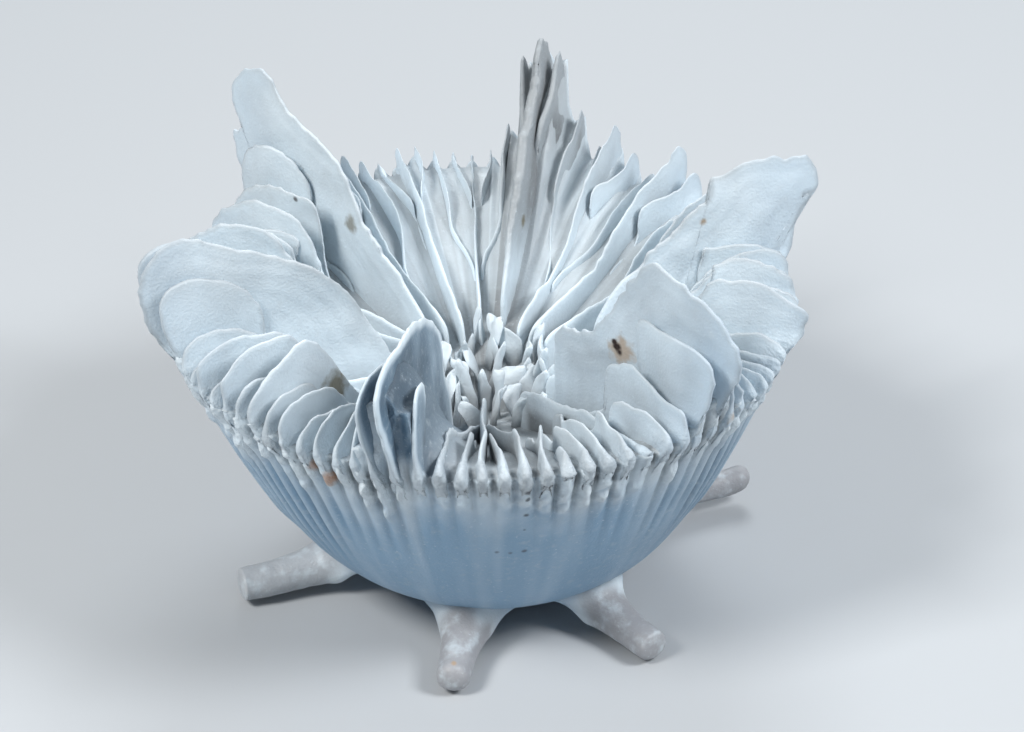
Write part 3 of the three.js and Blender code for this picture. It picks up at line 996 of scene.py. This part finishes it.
    def _inner_tones(self, k: Array, azimuth: Array, radius: Array) -> tuple[Array, Array, Array]:
        """Shares of grey-brown, blue and dark inside: each gap has its own tone, palest at the back.

        The grey-brown is partly that tone and partly painted shade, strongest in the deep gaps of the sides
        and, at the back, towards the middle of the floor. The gaps of the front lancet get blue and the
        dark of painted shade.

        Args:
            k: septum numbers of the columns.
            azimuth: azimuths of the columns.
            radius: radius of the inside.

        Returns:
            Three grids of shares from 0 to 1.
        """
        front, back, rest, lancet = self._shares(azimuth)
        noise = LatticeNoise(Seed.GAPS)
        own = noise.sample(spread(np.floor(k) * 1.7, 0.0, 0.0), 1.0)
        streak = noise.sample(spread(k * 3.0, 0.0, 4.0), 1.0)
        spire = near(azimuth, BACK_LANCET, 13.0)
        pale = 0.3 + 0.24 * own + 0.12 * streak + 0.4 * ease(radius, 9.5, -4.0) + 0.4 * spire
        grey = (0.6 + 0.15 * own + 0.1 * streak) * (1.0 - 0.75 * lancet)
        # Painted shade in the gaps, over each gap's own tone; the hidden gaps of the sides are darkest.
        shade = np.clip(0.7 * rest + back * pale + front * grey, 0.0, 1.0)
        # The front lancet's gaps: blue and painted dark shade.
        return shade, 0.95 * lancet + 0.0 * radius, 0.75 * lancet + 0.0 * radius


@dataclass(frozen=True)
class SpineForm:
    """Where one basal spine points, how far it reaches, its thickness and how it ends.

    The curl lifts its tip, the cut is the length over which the tip rounds off, and the horn is the share
    of beige on its shaft.
    """

    azimuth: float
    reach: float
    height: float
    curl: float = 0.0
    cut: float = 0.5
    shaft: float = 1.02
    horn: float = 1.0


@dataclass
class Spines:
    """Six blunt horns that flare smoothly out of the lower wall."""

    cup: CupForm
    forms: tuple[SpineForm, ...] = (
        SpineForm(-9.0, 15.25, 1.08, cut=0.75), SpineForm(40.0, 15.1, 1.1, cut=0.3),
        SpineForm(111.0, 17.2, 1.2, curl=0.6, cut=0.9, shaft=0.86),
        SpineForm(168.0, 16.2, 1.2, cut=0.6), SpineForm(-130.0, 16.2, 1.2, cut=0.5),
        SpineForm(-71.0, 16.15, 1.25, cut=0.22, shaft=1.1, horn=0.72),
    )
    start: float = 6.2
    root_height: float = 3.6
    flare: float = 2.2
    flare_length: float = 1.15
    clearance: float = 0.06
    around: int = 56
    along: int = 80

    def build(self, finish: "Aragonite") -> bpy.types.Object:
        """Carry a round section along each spine's axis.

        Args:
            finish: the skeleton's finish.

        Returns:
            The piece that holds all six spines.
        """
        surface = Surface()
        for number, form in enumerate(self.forms):
            self._add(surface, form, number)
        return surface.to_object("basal_spines", finish.material())

    def _add(self, surface: Surface, form: SpineForm, number: int) -> None:
        """Add one spine, with values that tint its foot blue like the wall and its shaft beige.

        The section's radius falls from a wide foot inside the wall to the shaft as an exponential of the
        way out, and rounds off at the tip by a root of one minus a power. The axis droops from the wall
        to the tip. Where the section would sink through the ground, a hyperbolic tangent flattens it.

        Args:
            surface: the surface that takes the spine.
            form: the spine's own sizes.
            number: the spine's number, for its noise.
        """
        length = form.reach - self.start
        share = 1.0 - np.linspace(1.0, 0.0, self.along)[:, None] ** 1.5
        out = share * length
        turn = np.linspace(0.0, 2 * math.pi, self.around, endpoint=False)[None, :]
        flare = self.flare * np.exp(-np.maximum(out - 2.6, 0.0) / self.flare_length)
        left = np.clip((length - out) / form.cut, 0.0, 1.0)
        cap = np.clip(1.0 - np.power(1.0 - left, 2.4), 0.0, 1.0) ** 0.5
        section = (form.shaft * (1.06 - 0.1 * share) + flare) * cap
        drop = (self.root_height - form.height) * np.power(1.0 - share, 2.2)
        axis = form.height + drop + form.curl * np.power(share, 5.0)
        radius = self.start + out + 0.0 * turn
        noise = LatticeNoise(Seed.SPINE + number)
        spot = spread(radius, section * np.cos(turn), section * np.sin(turn) + number * 9)
        lumps = 1.0 + 0.045 * noise.sample(spot, 1.6) + 0.02 * noise.sample(spot, 0.5)
        rise = section * np.sin(turn) * lumps
        aside = section * np.cos(turn) * lumps
        room = np.maximum(axis - self.clearance, 0.05)
        height = axis + np.where(rise > 0, rise, room * np.tanh(rise / room))
        under = np.interp(np.hypot(radius, aside), *np.array(self.cup.outside).T) + 0.12
        free = ease(out, 2.2, 2.0)
        height = np.maximum(height, under) * (1.0 - free) + height * free
        angle = math.radians(form.azimuth)
        x = radius * math.sin(angle) + aside * math.cos(angle)
        y = -radius * math.cos(angle) + aside * math.sin(angle)
        beige = ease(out + 0.7 * noise.sample(spot, 1.2), 3.6, 1.6)
        surface.add_grid(spread(x, y, height), wrap=True, horn=form.horn * beige,
                         blue=0.9 * (1.0 - ease(out, 2.5, 1.7)), shade=0.0, groove=0.0)


@dataclass
class Columella:
    """The low cluster of twisted laths in the middle of the cup."""

    cup: CupForm
    laths: int = 40
    radius: float = 4.6
    base: float = 9.0
    top: float = 13.9
    along: int = 30
    around: int = 24

    def build(self, finish: "Aragonite") -> bpy.types.Object:
        """Set out the laths: lath n stands at n golden angles, at a radius that grows with its root.

        Args:
            finish: the skeleton's finish.

        Returns:
            The piece that holds all laths.
        """
        surface = Surface()
        for n in range(self.laths):
            self._add(surface, n)
        return surface.to_object("columella", finish.material())

    def _add(self, surface: Surface, n: int) -> None:
        """Carry a flat cupped section up a leaning axis, turning as it climbs, to a rounded tip.

        Args:
            surface: the surface that takes the lath.
            n: the lath's number.
        """
        draw = np.random.default_rng(Seed.LATH + n)
        azimuth = math.degrees(n * math.pi * (3 - math.sqrt(5)))
        radius = self.radius * math.sqrt((n + 0.4) / self.laths)
        top = self.top + draw.uniform(-0.7, 0.9)
        share = np.linspace(0.0, 1.0, self.along)[:, None]
        turn = np.linspace(0.0, 2 * math.pi, self.around, endpoint=False)[None, :]
        height = self.base + (top - self.base) * share
        tip = np.sqrt(np.clip(1.0 - np.clip((share - 0.88) / 0.12, 0.0, 1.0) ** 2, 0.0, 1.0))
        wide = draw.uniform(0.4, 0.85) * (0.8 + 0.35 * np.sin(share * 5 + n)) * tip
        thin = draw.uniform(0.16, 0.26) * tip
        spin = draw.uniform(0.0, math.pi) + draw.uniform(-2.2, 2.2) * share**2
        cupped = 0.5 * draw.uniform(-1.0, 1.0)
        lean = draw.uniform(-1.0, 1.0, 2)
        a = wide * np.cos(turn)
        b = thin * np.sin(turn) + cupped * a * np.cos(turn)
        middle = self.cup.place(radius, azimuth, height)
        x = middle[..., 0] + a * np.cos(spin) - b * np.sin(spin) + lean[0] * share**3
        y = middle[..., 1] + a * np.sin(spin) + b * np.cos(spin) + lean[1] * share**3
        grid = spread(x, y, height + 0.3 * tip * np.sin(2 * turn + n) * share**6)
        noise = LatticeNoise(Seed.LATH_SKIN + n)
        grid = grid + 0.1 * np.stack([noise.sample(grid + shift, 0.8) for shift in (0, 31, 67)], axis=-1)
        # The laths grow grey-brown towards their feet: painted shade down among them, with a little own
        # tone from the noise.
        shade = 0.15 + 0.7 * ease(height, 13.7, -2.4) + 0.1 * noise.sample(grid, 0.7)
        surface.add_grid(grid, wrap=True, shade=shade, blue=0.0, groove=0.0)


class Graph:
    """A small helper that adds and joins the nodes of one material."""

    def __init__(self, name: str) -> None:
        """Start a material with an empty node tree.

        Args:
            name: the material's name.
        """
        self.material = bpy.data.materials.new(name)
        self.material.use_nodes = True
        self.tree = self.material.node_tree
        self.tree.nodes.clear()

    def add(self, kind: str, inputs: dict | None = None, **settings: object) -> bpy.types.Node:
        """Add a node, set its properties and feed its inputs.

        Args:
            kind: the node's type name.
            inputs: values or output sockets by input name or number.
            settings: properties of the node itself.

        Returns:
            The new node.
        """
        node = self.tree.nodes.new(kind)
        for name, value in settings.items():
            setattr(node, name, value)
        for key, value in (inputs or {}).items():
            if isinstance(value, bpy.types.NodeSocket):
                self.tree.links.new(value, node.inputs[key])
            else:
                node.inputs[key].default_value = value
        return node

    def math(self, operation: str, a: object, b: object) -> bpy.types.NodeSocket:
        """Work out one operation of two numbers."""
        return self.add("ShaderNodeMath", {0: a, 1: b}, operation=operation).outputs[0]

    def millimetres(self) -> bpy.types.NodeSocket:
        """Object coordinates counted in millimetres."""
        place = self.add("ShaderNodeTexCoord").outputs["Object"]
        return self.add("ShaderNodeVectorMath", {0: place, 3: 1 / MM}, operation="SCALE").outputs[0]

    def noise(self, place: bpy.types.NodeSocket, size: float, detail: float = 3.0) -> bpy.types.NodeSocket:
        """Noise with features of about this size in millimetres, from 0 to 1."""
        inputs = {"Vector": place, "Scale": 1.0 / size, "Detail": detail}
        return self.add("ShaderNodeTexNoise", inputs).outputs[0]

    def ramp(self, value: object, low: float, high: float, end: float = 1.0,
             start: float = 0.0) -> bpy.types.NodeSocket:
        """Map low to high smoothly on to start to end.

        Args:
            value: the number or socket to map.
            low: the value that gives the start.
            high: the value that gives the end.
            end: the result at high.
            start: the result at low.

        Returns:
            The mapped value.
        """
        node = self.add("ShaderNodeMapRange", {0: value, 1: low, 2: high, 3: start, 4: end},
                        interpolation_type="SMOOTHSTEP")
        return node.outputs[0]

    def mix(self, share: object, a: object, b: object) -> bpy.types.NodeSocket:
        """Blend two colours by a share."""
        node = self.add("ShaderNodeMix", {0: share, 6: a, 7: b}, data_type="RGBA")
        return node.outputs[2]

    def tint(self, base: bpy.types.NodeSocket, name: str, strength: float,
             colour: Colour) -> bpy.types.NodeSocket:
        """Blend a colour in by the vertex value of this name, times its strength."""
        return self.mix(self.math("MULTIPLY", self.attribute(name), strength), base, colour)

    def attribute(self, name: str) -> bpy.types.NodeSocket:
        """A value kept on the piece's vertices."""
        return self.add("ShaderNodeAttribute", attribute_name=name).outputs["Fac"]

    def finish(self, inputs: dict) -> bpy.types.Material:
        """Feed the shader and join it to the output.

        Args:
            inputs: values or sockets for the shader, by input name.

        Returns:
            The finished material.
        """
        shader = self.add("ShaderNodeBsdfPrincipled", inputs)
        self.add("ShaderNodeOutputMaterial", {0: shader.outputs[0]})
        return self.material


@dataclass(frozen=True)
class Stain:
    """A blot on the skeleton: its middle and its reach in millimetres, its colour and its strength."""

    middle: Place
    reach: float
    colour: Colour
    strength: float = 1.0


OLIVE: Colour = (0.16, 0.13, 0.07, 1.0)
RUST: Colour = (0.42, 0.2, 0.09, 1.0)
TAN: Colour = (0.42, 0.3, 0.19, 1.0)
UMBER: Colour = (0.025, 0.01, 0.006, 1.0)
INK: Colour = (0.03, 0.035, 0.05, 1.0)

STAINS: tuple[Stain, ...] = (
    Stain((-9.1, -15.3, 15.6), 0.8, RUST, 0.75), Stain((-9.95, -14.8, 16.2), 0.6, RUST, 0.6),
    Stain((-8.9, -8.4, 17.4), 1.35, OLIVE, 0.85), Stain((-8.7, 7.3, 19.2), 0.75, OLIVE, 0.7),
    Stain((7.5, -7.8, 19.4), 1.25, TAN, 0.75), Stain((7.1, -7.4, 19.85), 0.3, UMBER),
    Stain((7.25, -7.53, 19.6), 0.36, UMBER), Stain((7.42, -7.68, 19.3), 0.32, UMBER),
    Stain((14.4, -11.6, 17.2), 1.1, TAN, 0.6),
    Stain((1.9, 10.3, 17.7), 0.5, OLIVE, 0.9), Stain((3.0, 13.6, 15.2), 0.45, INK, 0.9),
    Stain((-12.6, 8.7, 21.1), 0.2, INK, 0.8), Stain((-12.0, 8.3, 20.4), 0.24, UMBER, 0.8),
    Stain((-17.7, -5.8, 19.5), 0.2, UMBER, 0.8), Stain((12.7, 4.3, 21.1), 0.32, TAN, 0.9),
    Stain((2.2, -17.5, 16.0), 0.34, INK, 0.8), Stain((2.1, -17.2, 15.4), 0.22, INK, 0.8),
    Stain((2.0, -16.4, 13.8), 0.24, INK, 0.8), Stain((1.9, -15.8, 12.4), 0.14, INK, 0.6),
    Stain((0.3, -15.0, 10.3), 0.2, INK, 0.6), Stain((1.1, -14.8, 10.2), 0.2, INK, 0.6),
    Stain((1.9, -14.8, 10.3), 0.24, INK, 0.7), Stain((-2.2, -14.4, 2.05), 0.26, TAN, 0.8),
)


@dataclass(frozen=True)
class Aragonite:
    """The white skeleton: cool blue-white, with see-through greys, painted shade, granules and a few
    stains.

    The surfaces carry the shares of its tones: shade for the grey-brown of thin blades over dark gaps and
    for the painted shade deep in the cup, low on the wall and at the feet of the columella's laths; blue
    for the porcelain of the wall; a dark share for painted shade in the slits between the ribs, on the
    right of the wall and on the front lancet; horn for the spines and knob for the granular rim. Sizes of
    the patterns are in millimetres, the bump's depth in metres.
    """

    name: str = "coral_aragonite"
    white: Colour = (0.71, 0.8, 0.86, 1.0)
    cream: Colour = (0.56, 0.62, 0.66, 1.0)
    blue: Colour = (0.18, 0.335, 0.5, 1.0)
    # Grey-brown: the see-through tone of thin plates and painted shade.
    brown: Colour = (0.21, 0.215, 0.22, 1.0)
    # Near black, for painted shade.
    dark: Colour = (0.03, 0.04, 0.05, 1.0)
    beige: Colour = (0.34, 0.345, 0.365, 1.0)
    pink: Colour = (0.3, 0.22, 0.195, 1.0)
    cloud_size: float = 3.5
    mottle_size: float = 0.6
    speck_size: float = 0.2
    patch_size: float = 0.9
    fray_size: float = 0.55
    grain_size: float = 0.17
    granule_size: float = 0.42
    granule_share: float = 6.0
    bump_depth: float = 0.00007

    def material(self) -> bpy.types.Material:
        """The finish as a node material, made once and shared.

        Clouds of cream lie on the white. The tones of the vertices, with their painted shade, the mottle
        and the specks come over them, and the stains last. Fine grain gives the bump, with coarser granules
        on the knobs.

        Returns:
            The material.
        """
        if self.name in bpy.data.materials:
            return bpy.data.materials[self.name]
        graph = Graph(self.name)
        place = graph.millimetres()
        mottle = graph.noise(place, self.mottle_size, 5.0)
        speck = graph.noise(place, self.speck_size, 2.0)
        cloud = graph.noise(place, self.cloud_size)
        base = graph.mix(graph.ramp(cloud, 0.4, 0.68, 0.5), self.white, self.cream)
        base = graph.tint(base, "blue", 0.9, self.blue)
        # Grey-brown that is partly painted shade, then near black for painted shade in the slits between
        # the ribs, on the right of the wall and on the front lancet.
        base = graph.tint(base, "shade", 0.92, self.brown)
        base = graph.tint(base, "groove", 0.9, self.dark)
        base = graph.mix(graph.attribute("horn"), base, self._horn(graph, place, mottle))
        base = graph.mix(graph.ramp(mottle, 0.5, 0.8, 0.3), base, self.cream)
        base = graph.mix(graph.ramp(speck, 0.62, 0.8, 0.35), base, self.white)
        frayed = graph.noise(place, self.fray_size)
        for stain in STAINS:
            base = self._stain(graph, base, place, frayed, stain)
        granules = graph.math("MULTIPLY", graph.noise(place, self.granule_size), graph.attribute("knob"))
        relief = graph.math("ADD", graph.noise(place, self.grain_size, 4.0),
                            graph.math("MULTIPLY", granules, self.granule_share))
        bump = {"Strength": 0.55, "Distance": self.bump_depth, "Height": relief}
        return graph.finish({
            "Base Color": base, "Normal": graph.add("ShaderNodeBump", bump).outputs[0],
            "Roughness": graph.ramp(mottle, 0.2, 0.8, start=0.38, end=0.6), "IOR": 1.5,
            "Subsurface Weight": 0.1, "Subsurface Radius": (1.0, 1.0, 1.0), "Subsurface Scale": 0.0005,
        })

    def _horn(self, graph: Graph, place: bpy.types.NodeSocket,
              mottle: bpy.types.NodeSocket) -> bpy.types.NodeSocket:
        """The spines' beige, broken by pale granular patches and pinkish flecks.

        Args:
            graph: the material's nodes.
            place: places in millimetres.
            mottle: the noise that the flecks follow.

        Returns:
            The colour.
        """
        patch = graph.ramp(graph.noise(place, self.patch_size, 5.0), 0.46, 0.72, 0.8)
        horn = graph.mix(patch, self.beige, self.cream)
        return graph.mix(graph.ramp(mottle, 0.56, 0.8, 0.35), horn, self.pink)

    def _stain(self, graph: Graph, base: bpy.types.NodeSocket, place: bpy.types.NodeSocket,
               frayed: bpy.types.NodeSocket, stain: Stain) -> bpy.types.NodeSocket:
        """Blend a blot's colour in where the surface lies within its ragged reach.

        Args:
            graph: the material's nodes.
            base: the colour under the blot.
            place: places in millimetres.
            frayed: the noise that makes the blot's rim ragged.
            stain: the blot.

        Returns:
            The colour with the blot on it.
        """
        away = graph.add("ShaderNodeVectorMath", {0: place, 1: stain.middle}, operation="DISTANCE")
        ragged = graph.math("ADD", away.outputs["Value"], graph.math("MULTIPLY", frayed, stain.reach * 1.1))
        share = graph.ramp(ragged, stain.reach * 1.55, stain.reach * 0.85, stain.strength)
        return graph.mix(share, base, stain.colour)


@dataclass(frozen=True)
class Lamp:
    """A square soft light: its name, place and side in millimetres, power in watts and colour."""

    name: str
    place: Place
    side: float
    power: float
    colour: tuple[float, float, float]


@dataclass
class Studio:
    """The pale floor, the soft lights and the camera at the photograph's angle."""

    elevation: float = 31.7
    target: Place = (1.186, 0.0, 13.612)
    distance: float = 240.0
    focal_pixels: float = 4000.0
    image_width: float = 1024.0
    sensor: float = 36.0
    nearest: float = 5.0
    lamps: tuple[Lamp, ...] = (
        Lamp("key", (-150.0, -110.0, 220.0), 80.0, 0.63, (1.0, 0.99, 0.97)),
        Lamp("side", (170.0, -70.0, 200.0), 80.0, 0.53, (0.96, 0.98, 1.0)),
        Lamp("back", (20.0, 190.0, 190.0), 100.0, 0.33, (0.93, 0.97, 1.0)),
    )
    lit_height: float = 12.0
    sky: Colour = (0.82, 0.87, 0.92, 1.0)
    sky_strength: float = 0.225
    floor_half: float = 3000.0
    floor_colour: Colour = (0.46, 0.48, 0.5, 1.0)

    def build(self) -> None:
        """Make the camera, then the floor, then the lights and the pale world round them."""
        self._camera()
        self._floor()
        for lamp in self.lamps:
            self._light(lamp)
        world = bpy.data.worlds.new("studio")
        world.use_nodes = True
        background = world.node_tree.nodes["Background"]
        background.inputs["Color"].default_value = self.sky
        background.inputs["Strength"].default_value = self.sky_strength
        bpy.context.scene.world = world
        bpy.context.scene.view_settings.view_transform = "Standard"

    def _camera(self) -> None:
        """Stand the camera back from the target along the photograph's line of sight."""
        camera = bpy.data.objects.new("camera", bpy.data.cameras.new("camera"))
        camera.data.sensor_fit = "HORIZONTAL"
        camera.data.sensor_width = self.sensor
        camera.data.lens = self.focal_pixels * self.sensor / self.image_width
        camera.data.clip_start = self.nearest * MM
        angle = math.radians(self.elevation)
        back = Vector((0.0, -math.cos(angle), math.sin(angle))) * self.distance
        camera.location = (Vector(self.target) + back) * MM
        camera.rotation_euler = (math.pi / 2 - angle, 0.0, 0.0)
        bpy.context.scene.collection.objects.link(camera)
        bpy.context.scene.camera = camera

    def _floor(self) -> None:
        """Lay a wide pale floor at height 0."""
        half = self.floor_half * MM
        corners = [(-half, -half, 0.0), (half, -half, 0.0), (half, half, 0.0), (-half, half, 0.0)]
        mesh = bpy.data.meshes.new("floor")
        mesh.from_pydata(corners, [], [(0, 1, 2, 3)])
        floor = bpy.data.objects.new("floor", mesh)
        bpy.context.scene.collection.objects.link(floor)
        mesh.materials.append(Graph("floor").finish({"Base Color": self.floor_colour, "Roughness": 0.8}))

    def _light(self, lamp: Lamp) -> None:
        """Hang a square soft light that faces the coral.

        Args:
            lamp: the light's own sizes.
        """
        light = bpy.data.lights.new(lamp.name, "AREA")
        light.size = lamp.side * MM
        light.energy = lamp.power
        light.color = lamp.colour
        stand = bpy.data.objects.new(lamp.name, light)
        stand.location = Vector(lamp.place) * MM
        aim = Vector((0.0, 0.0, self.lit_height)) * MM - stand.location
        stand.rotation_euler = aim.to_track_quat("-Z", "Y").to_euler()
        bpy.context.scene.collection.objects.link(stand)


def main() -> None:
    """Build the studio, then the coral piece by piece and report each."""
    logging.basicConfig(level=logging.INFO, format="%(name)s: %(message)s")
    cup = CupForm()
    aragonite = Aragonite()
    Studio().build()
    pieces = [Wall(cup).build(aragonite), *Septa(cup).build(aragonite),
              Columella(cup).build(aragonite), Spines(cup).build(aragonite)]
    for piece in pieces:
        LOG.info("%s: %d faces", piece.name, len(piece.data.polygons))


if __name__ == "__main__":
    main()
